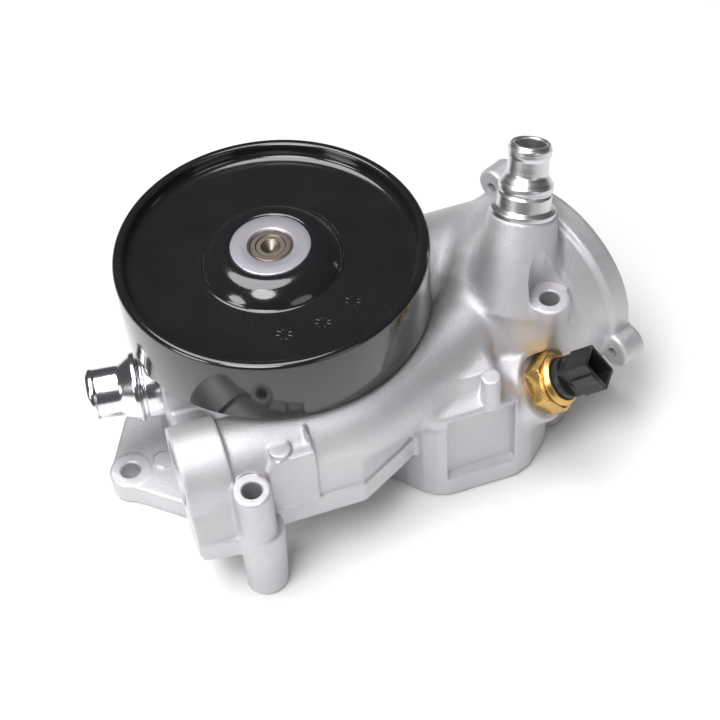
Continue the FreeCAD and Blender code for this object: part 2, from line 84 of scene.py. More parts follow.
BOSS_A = mount_place("bolt_hole_left_front").to_2d()
BOSS_B = mount_place("bolt_hole_dome").to_2d()
LUG = mount_place("bolt_hole_lug").to_2d()
BOLT_HOLE_R = MOUNTS["bolt_hole_lug"]["dims"]["r_mm"]
BOSS_A_R = 8.5
BOSS_A_TOP = 68.0
BOSS_B_R = 9.5
BOSS_B_TOP = 82.0
LUG_R = 10.0
LUG_TOP = 12.0
BOLT_BEVEL = 0.9
SEAT_MARGIN = 0.2

DRUM_R = 47.0
DRUM_TOP = 50.0
TOWER_R = 26.0
TOWER_TOP = 99.0
PUMP_ROOM_R = 37.0
PUMP_ROOM_TOP = 24.5
BEARING_SEAT_R = 19.0
BEARING_SEAT_BOTTOM = 20.0
PULLEY_ROOM_R = 73.0
PULLEY_ROOM_BOTTOM = 80.5
PULLEY_ROOM_TOP = 121.0

PIPE_Y = mount_place("coolant_port").y
PIPE_Z = mount_place("coolant_port").z
PIPE_R = 18.0
PIPE_BEND_X = 24.0
PIPE_HEADING = math.radians(31.0)
PIPE_BEND_R = 75.0
PIPE_REACH = 92.0
PORT_BORE_R = MOUNTS["coolant_port"]["dims"]["r_mm"]
PORT_DEPTH = MOUNTS["coolant_port"]["dims"]["length_mm"]
PIPE_RUN_R = PORT_BORE_R - 1.5
PIPE_RUN_LENGTH = 60.0
COLLAR_R = 20.5
COLLAR_LEFT = -66.0
COLLAR_RIGHT = -45.0
SKIRT_FRONT = -83.4
SKIRT_BOTTOM = 28.5
PARTING_Z = 40.5

LOWER_TOP = 62.0
LOWER_FRONT = -74.4
LOWER_ROOM_TOP = LOWER_TOP - 14
WINDOW_LEFT = 54.0
WINDOW_RIGHT = 87.0

DOME_NORMAL = mount_axis("thermostat_bore")
DOME_TURN = UP.cross(DOME_NORMAL)
DOME_BORE_LENGTH = MOUNTS["thermostat_bore"]["dims"]["length_mm"]
DOME_FACE = mount_place("thermostat_bore") + DOME_NORMAL * (DOME_BORE_LENGTH / 2)
DOME_ROOM_STEPS = [(0, 8), (38, 8), (38, -14), (33, -24), (24, -33), (14, -42), (0, -46)]
DOME_RIM_R = 48.0
DOME_RIM_WIDTH = 11.0
DOME_BORE_R = MOUNTS["thermostat_bore"]["dims"]["r_mm"]
DOME_BORE_DEPTH = 10.0
EAR_R = 8.8
EAR_NAMES = ("cover_screw_upper", "cover_screw_front", "cover_screw_rear")
EAR_HOLE_R = MOUNTS["cover_screw_upper"]["dims"]["r_mm"]

HEATER_AXIS = mount_axis("heater_hose_spigot")
HEATER_SEAT = Vector((113.3, -13.8, 109.0))
HEATER_BOSS_R = 15.6
HEATER_SOCKET_R = 12.5
RETURN_AXIS = mount_axis("return_hose_spigot")
RETURN_TIP = Vector((-92.7, 4.2, 48.0))
RETURN_BOSS_R = 17.0
RETURN_SOCKET_R = 12.0

SENSOR_SEAT = Vector((104.4, -61.8, 45.1))
SENSOR_AXIS = Vector((0.644, -0.443, 0.624)).normalized()
SENSOR_WIDTH = Vector((0.477, -0.407, -0.779))
SENSOR_ROOM_R = 20.0
SENSOR_BOSS_R = 16.5
SENSOR_BOSS_LENGTH = 26.0
SENSOR_RELIEF_R = 14.8
SENSOR_BORE_R = 7.2
HEX_HALF = 12.5
HEX_TURN = 22.0

ROSETTE_ORBIT = 45.0
ROSETTE_ANGLES = [math.radians(angle) for angle in (-99.5, -77.0, -55.0)]
ROSETTE_PETALS = 8
ROSETTE_R = 2.7
PETAL_HALF_LENGTH = 1.5
PETAL_HALF_WIDTH = 0.85
PETAL_SIDES = 16
BELT_R = MOUNTS["belt_band"]["dims"]["r_mm"]
PULLEY_BOTTOM = node_low("pulley").z
PULLEY_TOP = 116.0
WEB_TOP = 109.0
HUB_TOP = node_high("pulley").z
HUB_FACE_R = 18.2
SHAFT_R = 9.5

# ---- distance fields of the casting ----

SIDEWAYS, INWARDS, UPWARDS = 0, 1, 2
STEP = 0.7
GRID_LOW = np.array([-105.0, -104.0, -6.0])
GRID_HIGH = np.array([165.0, 72.0, 134.0])
FAR = 30.0
AXES = [np.arange(low, high, STEP, dtype=np.float32) for low, high in zip(GRID_LOW, GRID_HIGH)]


def round_union(first, second, radius):
    """The nearer of two distances, with a fillet of that radius where the two meet."""
    near = np.maximum(radius - first, 0)
    also = np.maximum(radius - second, 0)
    return np.maximum(np.minimum(first, second), radius) - np.hypot(near, also)


def round_cut(first, second, radius):
    """What is inside both, with the edge where they meet rounded to that radius."""
    return -round_union(-first, -second, radius)


def polygon_distance(across, along, outline):
    """Signed distance to a closed outline of (across, along) points."""
    nearest = np.full(np.broadcast(across, along).shape, 1e9, dtype=np.float32)
    inside = np.zeros(nearest.shape, dtype=bool)
    for start, end in zip(outline, outline[1:] + outline[:1]):
        edge = (end[0] - start[0], end[1] - start[1])
        from_start = (across - start[0], along - start[1])
        share = (from_start[0] * edge[0] + from_start[1] * edge[1]) / (edge[0] ** 2 + edge[1] ** 2)
        share = np.clip(share, 0, 1)
        gap = (from_start[0] - edge[0] * share) ** 2 + (from_start[1] - edge[1] * share) ** 2
        nearest = np.minimum(nearest, gap)
        straddles = (along >= min(start[1], end[1])) & (along < max(start[1], end[1]))
        if edge[1] != 0:
            crossing = start[0] + (along - start[1]) * (edge[0] / edge[1])
            inside ^= straddles & (across < crossing)
    distance = np.sqrt(nearest)
    return np.where(inside, -distance, distance)


def rod(start, axis, length, radius, edge=1.0):
    """A round bar from start along axis, with rounded edges."""
    start = Vector(start)
    end = start + axis * length

    def distance(x, y, z):
        along = (x - start.x) * axis.x + (y - start.y) * axis.y + (z - start.z) * axis.z
        square = (x - start.x) ** 2 + (y - start.y) ** 2 + (z - start.z) ** 2 - along ** 2
        side = np.sqrt(np.maximum(square, 0)) - radius
        caps = np.abs(along - length / 2) - length / 2
        return round_cut(side, caps, edge)

    low = [min(start[k], end[k]) - radius for k in range(3)]
    high = [max(start[k], end[k]) + radius for k in range(3)]
    return distance, low, high


def column(place, bottom, top, radius, edge=1.0):
    return rod((place[0], place[1], bottom), UP, top - bottom, radius, edge)


def turned(outline, start, axis):
    """A body of revolution with an outline of (radius, height) points."""
    reach = max(max(abs(r), abs(h)) for r, h in outline) * 1.5
    mirrored = outline + [(-r, h) for r, h in reversed(outline) if r > 0]

    def distance(x, y, z):
        along = (x - start.x) * axis.x + (y - start.y) * axis.y + (z - start.z) * axis.z
        square = (x - start.x) ** 2 + (y - start.y) ** 2 + (z - start.z) ** 2 - along ** 2
        out = np.sqrt(np.maximum(square, 0))
        return polygon_distance(out, along, mirrored)

    return distance, [start[k] - reach for k in range(3)], [start[k] + reach for k in range(3)]


def slab(outline, start, end, edge=1.5, corner=1.5, along=UPWARDS):
    """A prism with rounded corners and edges, from start to end along one of X, Y and Z.

    The outline's points are in the other two coordinates, in that order.
    """
    inner = inset(outline, corner)
    first, second = (k for k in range(3) if k != along)

    def distance(*place):
        side = polygon_distance(place[first], place[second], inner) - corner
        caps = np.abs(place[along] - (start + end) / 2) - (end - start) / 2
        return round_cut(side, caps, edge)

    low = [start, start, start]
    high = [end, end, end]
    for k, values in ((first, [p[0] for p in outline]), (second, [p[1] for p in outline])):
        low[k] = min(values)
        high[k] = max(values)
    return distance, low, high


def inset(outline, amount):
    """The outline moved inwards by that amount."""
    area = sum(a[0] * b[1] - b[0] * a[1] for a, b in zip(outline, outline[1:] + outline[:1]))
    turn = 1 if area > 0 else -1
    count = len(outline)
    points = []
    for k in range(count):
        before, here, after = (Vector(outline[(k + j) % count]) for j in (-1, 0, 1))
        first = (here - before).normalized()
        second = (after - here).normalized()
        inward = Vector((-first.y, first.x)) * turn
        onward = Vector((-second.y, second.x)) * turn
        middle = (inward + onward).normalized()
        points.append(tuple(here + middle * (amount / max(middle.dot(inward), 0.3))))
    return points


def pipe_along(radius, start_x):
    """The long pipe: a level run along X, one bend and a run to the dome."""
    onward = Vector((math.cos(PIPE_HEADING), math.sin(PIPE_HEADING)))
    reach = PIPE_BEND_R * math.tan(PIPE_HEADING / 2)
    corner = Vector((PIPE_BEND_X, PIPE_Y))
    start = Vector((start_x, PIPE_Y))
    bend_start = corner - Vector((reach, 0))
    bend_end = corner + onward * reach
    finish = corner + onward * PIPE_REACH
    centre = bend_start + Vector((0, PIPE_BEND_R))

    def flat_distance(x, y):
        runs = []
        for a, b in ((start, bend_start), (bend_end, finish)):
            edge = b - a
            share = np.clip(((x - a.x) * edge.x + (y - a.y) * edge.y) / edge.length_squared, 0, 1)
            runs.append(np.hypot(x - a.x - edge.x * share, y - a.y - edge.y * share))
        angle = np.arctan2(x - centre.x, centre.y - y)
        angle = np.clip(angle, 0, PIPE_HEADING)
        arc_x = centre.x + PIPE_BEND_R * np.sin(angle)
        arc_y = centre.y - PIPE_BEND_R * np.cos(angle)
        runs.append(np.hypot(x - arc_x, y - arc_y))
        return np.minimum(np.minimum(runs[0], runs[1]), runs[2])

    def distance(x, y, z):
        return np.hypot(flat_distance(x, y), z - PIPE_Z) - radius

    low = [start_x - radius, PIPE_Y - radius, PIPE_Z - radius]
    high = [finish.x + radius, finish.y + radius, PIPE_Z + radius]
    return distance, low, high


def scooped(body, tool, radius):
    """What is left of a body after the tool has cut it, with a rounded edge."""
    return round_cut(body, -tool, radius)


def add(field, shape, fillet, join=round_union):
    """Joins one shape to the field, or cuts it out, in the part of the grid that it can reach."""
    distance, low, high = shape
    margin = fillet + 4 * STEP
    cells = []
    for k in range(3):
        first = int(max(0, (low[k] - margin - GRID_LOW[k]) / STEP))
        last = int(min(len(AXES[k]), (high[k] + margin - GRID_LOW[k]) / STEP + 2))
        cells.append(slice(first, last))
    x = AXES[0][cells[0]][:, None, None]
    y = AXES[1][cells[1]][None, :, None]
    z = AXES[2][cells[2]][None, None, :]
    part = field[cells[0], cells[1], cells[2]]
    joined = join(part, distance(x, y, z).astype(np.float32), fillet)
    field[cells[0], cells[1], cells[2]] = joined


def dome_point(out, across, height):
    return DOME_FACE + DOME_NORMAL * out + DOME_TURN * across + UP * height


def dome_shapes():
    rim = DOME_RIM_WIDTH
    outline = [
        (0, -69), (12, -67.5), (21, -63.5), (29.5, -56), (36.5, -46), (41.5, -35), (44.5, -24),
        (45.8, -14), (46, -rim), (46, -1), (0, -1),
    ]
    shapes = [(turned(outline, DOME_FACE, DOME_NORMAL), 4.0)]
    shapes.append((rod(dome_point(-rim, 0, 0), DOME_NORMAL, rim, DOME_RIM_R, 1.5), 2.0))
    for name in EAR_NAMES:
        place = mount_place(name) + DOME_NORMAL * 6.0
        inward = (DOME_FACE - place) * 0.2
        start = place - DOME_NORMAL * (rim + 2)
        shapes.append((rod(start + inward, DOME_NORMAL, rim + 2, EAR_R, 1.5), 3.0))
        shapes.append((rod(start, DOME_NORMAL, rim + 2, EAR_R, 1.5), 2.0))
    return shapes


def pump_shapes():
    drum = column((0, 0), 0, DRUM_TOP, DRUM_R, 3)
    cone_outline = [(0, DRUM_TOP), (DRUM_R - 4, DRUM_TOP), (TOWER_R, 72), (0, 72)]
    cone = turned(cone_outline, Vector((0, 0, 0)), UP)
    tower = column((0, 0), DRUM_TOP, TOWER_TOP, TOWER_R, 1)
    bridge = slab([(0, -45), (60, -62), (60, 30), (0, 45)], 0, DRUM_TOP, 2, 2)
    duct = rod((35, 13, 46), ALONG_X, 82, 35, 6)
    return [(drum, 2.0), (bridge, 6.0), (duct, 5.0), (cone, 4.0), (tower, 4.0)]


def lower_shapes():
    outline = [
        (30, -30), (34, -55), (38, -62), (44, -69), (50, -73), (55, LOWER_FRONT),
        (88, LOWER_FRONT), (96, -71), (108, -60), (116, -46), (112, 8), (60, 30), (30, 20),
    ]
    slope = [
        (LOWER_FRONT + 1.5, LOWER_TOP - 10), (LOWER_FRONT + 1.5, LOWER_TOP - 5),
        (-63, LOWER_TOP + 6), (-40, LOWER_TOP + 6), (-40, LOWER_TOP - 10),
    ]
    return [
        (slab(outline, 0, LOWER_TOP - 5, 1.5, 2.0), 5.0),
        (slab(slope, 46, 83, 4.0, 1.0, SIDEWAYS), 6.0),
    ]


def pipe_shapes():
    foot = [
        (COLLAR_LEFT, -60), (COLLAR_LEFT, SKIRT_FRONT), (12, SKIRT_FRONT), (34, -71),
        (48, -62), (48, -40), (0, -40),
    ]
    upper = [(x, y + 1.7) if y < -60 else (x, y) for x, y in foot]
    collar = rod((COLLAR_LEFT, PIPE_Y, PIPE_Z), ALONG_X, COLLAR_RIGHT - COLLAR_LEFT, COLLAR_R, 0.8)
    side_outline = [
        (PIPE_Y, PARTING_Z - 8), (PIPE_Y, PIPE_Z), (PIPE_Y - COLLAR_R, PIPE_Z),
        (PIPE_Y - COLLAR_R, PIPE_Z - 5), (-90.4, PARTING_Z + 0.6), (-90.4, PARTING_Z - 8),
    ]
    side = slab(side_outline, COLLAR_LEFT, COLLAR_RIGHT + 6, 0.8, 0.8, SIDEWAYS)
    corner_outline = [(COLLAR_LEFT, -70), (-65.2, -89.9), (-47.2, -92.6), (-33, -88), (-30, -70)]
    corner = slab(corner_outline, SKIRT_BOTTOM, PARTING_Z, 1.0, 1.5)
    block_outline = [(-30.3, 40), (-8.4, 40), (-8.4, 73.5), (-25.8, 73.5), (-30.3, 67.4)]
    block = slab(block_outline, SKIRT_FRONT, SKIRT_FRONT + 18, 0.8, 0.8, INWARDS)
    return [
        (pipe_along(PIPE_R, COLLAR_LEFT + PIPE_R), 5.0),
        (slab(foot, SKIRT_BOTTOM, PARTING_Z, 0.6), 2.0),
        (slab(upper, PARTING_Z - 3, PIPE_Z - 4, 1.5), 1.5),
        (collar, 1.5),
        (side, 1.0),
        (corner, 1.5),
        (block, 1.5),
    ]


def boss_shapes():
    lug = [
        (-78, 16), (-40, 30), (-40, -52), (-62, -46), (LUG.x - 2, LUG.y - LUG_R + 0.3),
        (LUG.x - LUG_R + 0.3, LUG.y + 2),
    ]
    heater_boss = [
        (0, 0), (HEATER_BOSS_R - 0.6, 0), (HEATER_BOSS_R, -0.6), (21.2, -43), (12, -62), (0, -62),
    ]
    boss_a_foot = [
        (0, 0), (8.6, 0), (10.1, PARTING_Z - 3), (9.4, PARTING_Z - 1), (0, PARTING_Z - 1),
    ]
    sensor_boss_start = SENSOR_SEAT - SENSOR_AXIS * SENSOR_BOSS_LENGTH
    return_start = RETURN_TIP - RETURN_AXIS * 33.6
    wall = [(-60, 14), (-34, 24), (-34, -52), (-60, -52)]
    return [
        (column(BOSS_A, 0, BOSS_A_TOP, BOSS_A_R, 1.2), 2.5),
        (turned(boss_a_foot, Vector((BOSS_A.x + 2.0, BOSS_A.y + 0.7, 0)), UP), 2.0),
        (column(BOSS_B, 0, BOSS_B_TOP, BOSS_B_R, 1.0), 1.8),
        (column(LUG, 0, LUG_TOP, LUG_R, 1.2), 1.0),
        (slab(lug, 0, LUG_TOP, 1.2, 1.0), 1.0),
        (slab(wall, 0, 46, 2.0, 2.0), 4.0),
        (turned(heater_boss, HEATER_SEAT, HEATER_AXIS), 3.0),
        (rod(return_start, -RETURN_AXIS, 24, RETURN_BOSS_R, 1.0), 3.0),
        (rod(sensor_boss_start, SENSOR_AXIS, SENSOR_BOSS_LENGTH, SENSOR_BOSS_R, 1.0), 2.5),
    ]


def mark_shapes():
    """The round stubs on the pipe's block and the lower body, the disc on the lug, and a thin fin."""
    fin = [(-10.5, 66), (-8.9, 66), (-8.9, 78), (-10.5, 78)]
    return [
        (column((-22.6, -77.5), 60, 75.5, 4.9, 0.4), 0.8),
        (column((76.0, -71.5), 50, 75.0, 4.6, 0.5), 1.0),
        (column((-66.9, -16.2), 8, LUG_TOP + 0.9, 5.0, 0.3), 0.4),
        (slab(fin, SKIRT_FRONT + 6, SKIRT_FRONT + 12, 0.4, 0.4, INWARDS), 1.0),
    ]


def casting_mesh():
    """The casting's outer shape, before its holes are cut, as a mesh in metres."""
    field = np.full([len(axis) for axis in AXES], FAR, dtype=np.float32)
    for shape, fillet in pump_shapes() + lower_shapes():
        add(field, shape, fillet)
    add(field, rod(SENSOR_SEAT, SENSOR_AXIS, 30, SENSOR_ROOM_R), 4.0, scooped)
    for shape, fillet in dome_shapes() + pipe_shapes() + boss_shapes() + mark_shapes():
        add(field, shape, fillet)
    x = AXES[0][:, None, None]
    y = AXES[1][None, :, None]
    z = AXES[2][None, None, :]
    to_dome_face = (x - DOME_FACE.x) * DOME_NORMAL.x + (y - DOME_FACE.y) * DOME_NORMAL.y
    field = np.maximum(field, to_dome_face)
    field = np.maximum(field, -z)
    grid = openvdb.FloatGrid(FAR)
    grid.copyFromArray(field)
    points, quads = grid.convertToQuads(0.0)
    points = (points * STEP + GRID_LOW) * MM
    mesh = bpy.data.meshes.new("main_casting")
    mesh.from_pydata(points.tolist(), [], quads.tolist())
    mesh.validate()
    return mesh


# ---- mesh helpers ----

TOOL_SEGMENTS = 72


def new_object(name, mesh):
    piece = bpy.data.objects.new(name, mesh)
    bpy.context.scene.collection.objects.link(piece)
    return piece


def basis(start, axis, across=None):
    """A matrix from millimetres in a local frame, whose +Z is axis, to metres in the model's frame."""
    axis = axis.normalized()
    if across is None:
        across = ALONG_X if abs(axis.x) < 0.9 else Vector((0, 1, 0))
    across = (across - axis * across.dot(axis)).normalized()
    side = axis.cross(across)
    turn = Matrix((across, side, axis)).transposed().to_4x4()
    return Matrix.Translation(start * MM) @ turn @ Matrix.Scale(MM, 4)


def rounded(outline, radius):
    """The closed outline with each corner turned into a short curve of about that radius."""
    points = []
    for k, corner in enumerate(outline):
        here = Vector(corner)
        before = Vector(outline[k - 1])
        after = Vector(outline[(k + 1) % len(outline)])
        reach = min(radius, (before - here).length * 0.45, (after - here).length * 0.45)
        first = here + (before - here).normalized() * reach
        last = here + (after - here).normalized() * reach
        for step in range(5):
            share = step / 4
            blend = first * (1 - share) ** 2 + here * 2 * share * (1 - share) + last * share ** 2
            points.append(tuple(blend))
    return points


def lathe(name, outline, start=Vector((0, 0, 0)), axis=UP, segments=144):
    """A closed body of revolution from (radius, height) points; points on the axis close its ends."""
    place = basis(start, axis)
    mesh = bpy.data.meshes.new(name)
    build = bmesh.new()
    rings = []
    for radius, height in outline:
        if radius < 1e-6:
            rings.append([build.verts.new(place @ Vector((0, 0, height)))])
            continue
        circle = []
        for k in range(segments):
            angle = 2 * math.pi * k / segments
            point = Vector((radius * math.cos(angle), radius * math.sin(angle), height))
            circle.append(build.verts.new(place @ point))
        rings.append(circle)
    for lower, upper in zip(rings, rings[1:] + rings[:1]):
        if len(lower) == 1 and len(upper) == 1:
            continue
        for k in range(segments):
            follow = (k + 1) % segments
            if len(lower) == 1:
                build.faces.new((lower[0], upper[follow], upper[k]))
            elif len(upper) == 1:
                build.faces.new((lower[k], lower[follow], upper[0]))
            else:
                build.faces.new((lower[k], lower[follow], upper[follow], upper[k]))
    bmesh.ops.recalc_face_normals(build, faces=build.faces)
    build.to_mesh(mesh)
    build.free()
    return new_object(name, mesh)


def prism(name, outline, bottom, top, place):
    """A straight-sided bar of (x, y) points between two heights."""
    mesh = bpy.data.meshes.new(name)
    build = bmesh.new()
    base = [build.verts.new(place @ Vector((x, y, bottom))) for x, y in outline]
    face = build.faces.new(base)
    moved = bmesh.ops.extrude_face_region(build, geom=[face])["geom"]
    shift = place.to_3x3() @ Vector((0, 0, top - bottom))
    bmesh.ops.translate(build, verts=[v for v in moved if isinstance(v, bmesh.types.BMVert)], vec=shift)
    bmesh.ops.recalc_face_normals(build, faces=build.faces)
    build.to_mesh(mesh)
    build.free()
    return new_object(name, mesh)


def bake(piece):
    """Turns a piece's modifiers into its mesh."""
    graph = bpy.context.evaluated_depsgraph_get()
    mesh = bpy.data.meshes.new_from_object(piece.evaluated_get(graph))
    piece.modifiers.clear()
    piece.data = mesh


def combine(piece, tool, operation="DIFFERENCE"):
    """Cuts the tool out of the piece, joins the two, or keeps what they share; the tool goes."""
    change = piece.modifiers.new("cut", "BOOLEAN")
    change.operation = operation
    change.solver = "MANIFOLD"
    change.object = tool
    bake(piece)
    bpy.data.objects.remove(tool)


def smooth(piece, degrees=30):
    piece.data.shade_smooth()
    piece.data.set_sharp_from_angle(angle=math.radians(degrees))


def bevel(piece, width):
    """Rounds the piece's sharp edges, and bakes the result."""
    change = piece.modifiers.new("edges", "BEVEL")
    change.width = width * MM
    change.segments = 2
    change.limit_method = "ANGLE"
    change.angle_limit = math.radians(30)
    change.harden_normals = True
    bake(piece)


def drill(start, axis, length, radius):
    """A round tool for a hole or a flat seat."""
    outline = [(0, 0), (radius, 0), (radius, length), (0, length)]
    return lathe("tool", outline, Vector(start), axis, TOOL_SEGMENTS)


# ---- the casting ----

def machining_tools():
    """Round holes and flat seats that the machine shop cuts; each tool starts or ends in free space."""
    tools = []
    for place, top in ((BOSS_A, BOSS_A_TOP), (BOSS_B, BOSS_B_TOP), (LUG, LUG_TOP)):
        tools.append(drill((place.x, place.y, -10), UP, top + 20, BOLT_HOLE_R))
        rim = [
            (0, top - 0.5), (BOLT_HOLE_R, top - 0.5), (BOLT_HOLE_R + BOLT_BEVEL, top + 0.4),
            (0, top + 0.4),
        ]
        tools.append(lathe("tool", rim, Vector((place.x, place.y, 0)), UP, TOOL_SEGMENTS))
    tools.append(drill((BOSS_A.x, BOSS_A.y, BOSS_A_TOP), UP, 20, BOSS_A_R + SEAT_MARGIN))
    tools.append(drill((BOSS_B.x, BOSS_B.y, BOSS_B_TOP), UP, 60, BOSS_B_R + SEAT_MARGIN))
    tools.append(drill(SENSOR_SEAT, SENSOR_AXIS, 14, SENSOR_RELIEF_R))
    for name in EAR_NAMES:
        start = mount_place(name) - DOME_NORMAL * 10
        tools.append(drill(start, DOME_NORMAL, 22, EAR_HOLE_R))
    dome_bore_start = DOME_FACE - DOME_NORMAL * DOME_BORE_DEPTH
    tools.append(drill(dome_bore_start, DOME_NORMAL, DOME_BORE_DEPTH + 4, DOME_BORE_R))
    tools.append(lathe("tool", DOME_ROOM_STEPS, DOME_FACE, DOME_NORMAL, TOOL_SEGMENTS))
    tools.append(drill((COLLAR_LEFT - 4, PIPE_Y, PIPE_Z), ALONG_X, PORT_DEPTH + 4, PORT_BORE_R))
    tools.append(drill((COLLAR_LEFT + 10, PIPE_Y, PIPE_Z), ALONG_X, PIPE_RUN_LENGTH, PIPE_RUN_R))
    tools.append(drill(HEATER_SEAT - HEATER_AXIS * 14, HEATER_AXIS, 20, HEATER_SOCKET_R))
    tools.append(drill(RETURN_TIP - RETURN_AXIS * 46, RETURN_AXIS, 20, RETURN_SOCKET_R))
    sensor_bore_start = SENSOR_SEAT - SENSOR_AXIS * SENSOR_BOSS_LENGTH
    tools.append(drill(sensor_bore_start, SENSOR_AXIS, 32, SENSOR_BORE_R))
    tools.append(drill((0, 0, -8), UP, PUMP_ROOM_TOP + 8, PUMP_ROOM_R))
    tools.append(drill((0, 0, BEARING_SEAT_BOTTOM), UP, 90, BEARING_SEAT_R))
    return tools


def pulley_room_tool():
    """The ring-shaped space round the tower that the pulley turns in."""
    inner = TOWER_R + 0.3
    outline = [
        (inner, PULLEY_ROOM_BOTTOM), (PULLEY_ROOM_R, PULLEY_ROOM_BOTTOM),
        (PULLEY_ROOM_R, PULLEY_ROOM_TOP), (inner, PULLEY_ROOM_TOP),
    ]
    return lathe("tool", outline, segments=96)


def lower_room_tool():
    """The water room in the lower body, open at the engine face."""
    outline = [(38, -50), (56, -68), (84, -68), (92, -54), (104, -20), (60, 8), (40, -6)]
    return prism("tool", outline, -5, LOWER_ROOM_TOP, Matrix.Scale(MM, 4))


def window_tool():
    """The shallow field in the front wall, with a sill that slopes out and down."""
    outline = [(-80, 12), (-74.9, 12), (-71.0, 15.2), (-71.0, 48), (-74.5, 56), (-80, 56)]
    stand = Matrix(((0, 0, 1), (1, 0, 0), (0, 1, 0))).to_4x4()
    return prism("tool", outline, WINDOW_LEFT, WINDOW_RIGHT, Matrix.Scale(MM, 4) @ stand)


def make_casting():
    casting = new_object("main_casting", casting_mesh())
    for tool in machining_tools():
        combine(casting, tool)
    combine(casting, pulley_room_tool())
    combine(casting, lower_room_tool())
    combine(casting, window_tool())
    smooth(casting, 32)
    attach(casting, "housing")
    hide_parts("main_housing")
    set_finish(casting, "cast_aluminium")
    return casting


# ---- the turned, pressed and moulded pieces ----

def finish_piece(piece, body, slot, *nodes):
    smooth(piece)
    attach(piece, body)
    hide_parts(*nodes)
    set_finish(piece, slot)
    return piece


def make_pulley():
    inner = BELT_R - 3.0
    floor = WEB_TOP - 3.0
    face = [
        (HUB_FACE_R, HUB_TOP), (21.5, HUB_TOP - 0.1), (24.8, HUB_TOP - 1.0), (28.2, HUB_TOP - 3.2),
        (30.8, HUB_TOP - 5.8), (32.2, WEB_TOP), (61.2, WEB_TOP), (64.2, WEB_TOP + 0.8),
        (65.2, WEB_TOP + 3.6), (65.4, PULLEY_TOP - 0.8), (66.4, PULLEY_TOP), (68.6, PULLEY_TOP),
        (BELT_R, PULLEY_TOP - 1.2), (BELT_R, PULLEY_BOTTOM + 0.6), (BELT_R - 0.6, PULLEY_BOTTOM),
        (inner + 0.6, PULLEY_BOTTOM), (inner, PULLEY_BOTTOM + 0.6),
        (inner, floor - 2.0), (inner - 2.0, floor), (30.6, floor), (26.6, floor + 2.4),
        (22.6, HUB_TOP - 4.2), (20.8, HUB_TOP - 3.2), (HUB_FACE_R, HUB_TOP - 3.2),
    ]
    pulley = lathe("pulley_shell", rounded(face, 2.0), segments=240)
    return finish_piece(pulley, "rotor", "black_paint", "pulley")


def make_stamps():
    """Three faint rosettes pressed into the web, as plain marks."""
    mesh = bpy.data.meshes.new("web_rosettes")
    build = bmesh.new()
    for turn in ROSETTE_ANGLES:
        centre = Vector((math.cos(turn), math.sin(turn))) * ROSETTE_ORBIT
        for k in range(ROSETTE_PETALS):
            heading = math.tau * k / ROSETTE_PETALS
            outward = Vector((math.cos(heading), math.sin(heading)))
            add_petal(build, centre + outward * ROSETTE_R, outward)
    build.to_mesh(mesh)
    build.free()
    stamps = new_object("web_rosettes", mesh)
    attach(stamps, "rotor")
    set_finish(stamps, "black_paint")
    smooth(stamps, 60)
    return stamps


def add_petal(build, place, outward):
    """A low closed oval bump, longer along outward."""
    sideways = Vector((-outward.y, outward.x))
    rings = []
    for share, height in ((1.0, -0.3), (1.0, 0.0), (0.8, 0.035), (0.4, 0.06)):
        circle = []
        for k in range(PETAL_SIDES):
            angle = math.tau * k / PETAL_SIDES
            along = outward * (PETAL_HALF_LENGTH * math.cos(angle))
            across = sideways * (PETAL_HALF_WIDTH * math.sin(angle))
            flat = place + (along + across) * share
            circle.append(build.verts.new(Vector((flat.x, flat.y, WEB_TOP + height)) * MM))
        rings.append(circle)
    for lower, upper in zip(rings, rings[1:]):
        for k in range(PETAL_SIDES):
            follow = (k + 1) % PETAL_SIDES
            build.faces.new((lower[k], lower[follow], upper[follow], upper[k]))
    build.faces.new(rings[0][::-1])
    build.faces.new(rings[-1])


def make_hub():
    outline = [
        (SHAFT_R + 0.02, 102.0), (15.0, 102.0), (15.0, 104.5), (25.0, 104.5), (25.8, 105.4),
        (25.8, 107.0), (21.6, HUB_TOP - 5.0), (HUB_FACE_R, HUB_TOP - 3.4),
        (HUB_FACE_R, HUB_TOP - 0.4), (HUB_FACE_R - 0.4, HUB_TOP + 0.02),
        (SHAFT_R + 0.8, HUB_TOP + 0.02), (SHAFT_R + 0.02, HUB_TOP - 0.8),
    ]
    hub = lathe("hub_disc", rounded(outline, 0.3))
    return finish_piece(hub, "rotor", "ground_steel", "pulley_hub")


def make_shaft():
    """The ground shaft; its outer end shows a turned centre."""
    outline = [
        (0, 5), (SHAFT_R - 1, 5), (SHAFT_R, 6), (SHAFT_R, 115.6), (SHAFT_R - 0.8, 116.4),
        (6.8, 116.4), (6.3, 115.9), (4.4, 115.9), (3.6, 115.2), (1.6, 114.0), (0, 113.0),
    ]
    return finish_piece(lathe("turned_shaft", outline), "rotor", "bearing_steel", "pump_shaft")


def make_heater_spigot():
    """The upper nozzle; its shoulder rests on the boss at height 0."""
    outline = [
        (7.0, -12), (12.5, -12), (12.5, 0), (15.0, 0), (15.0, 2.4), (12.2, 3.2), (12.2, 9.4),
        (11.2, 10.0), (11.2, 11.4), (12.4, 12.0), (12.4, 14.2), (9.6, 18.6), (9.3, 19.4),
        (9.3, 26.4), (9.9, 27.8), (9.9, 31.0), (8.8, 33.0), (7.4, 33.0), (7.0, 32.2),
    ]
    spigot = lathe("heater_nozzle", rounded(outline, 0.45), HEATER_SEAT, HEATER_AXIS)
    return finish_piece(spigot, "housing", "machined_aluminium", "heater_spigot")


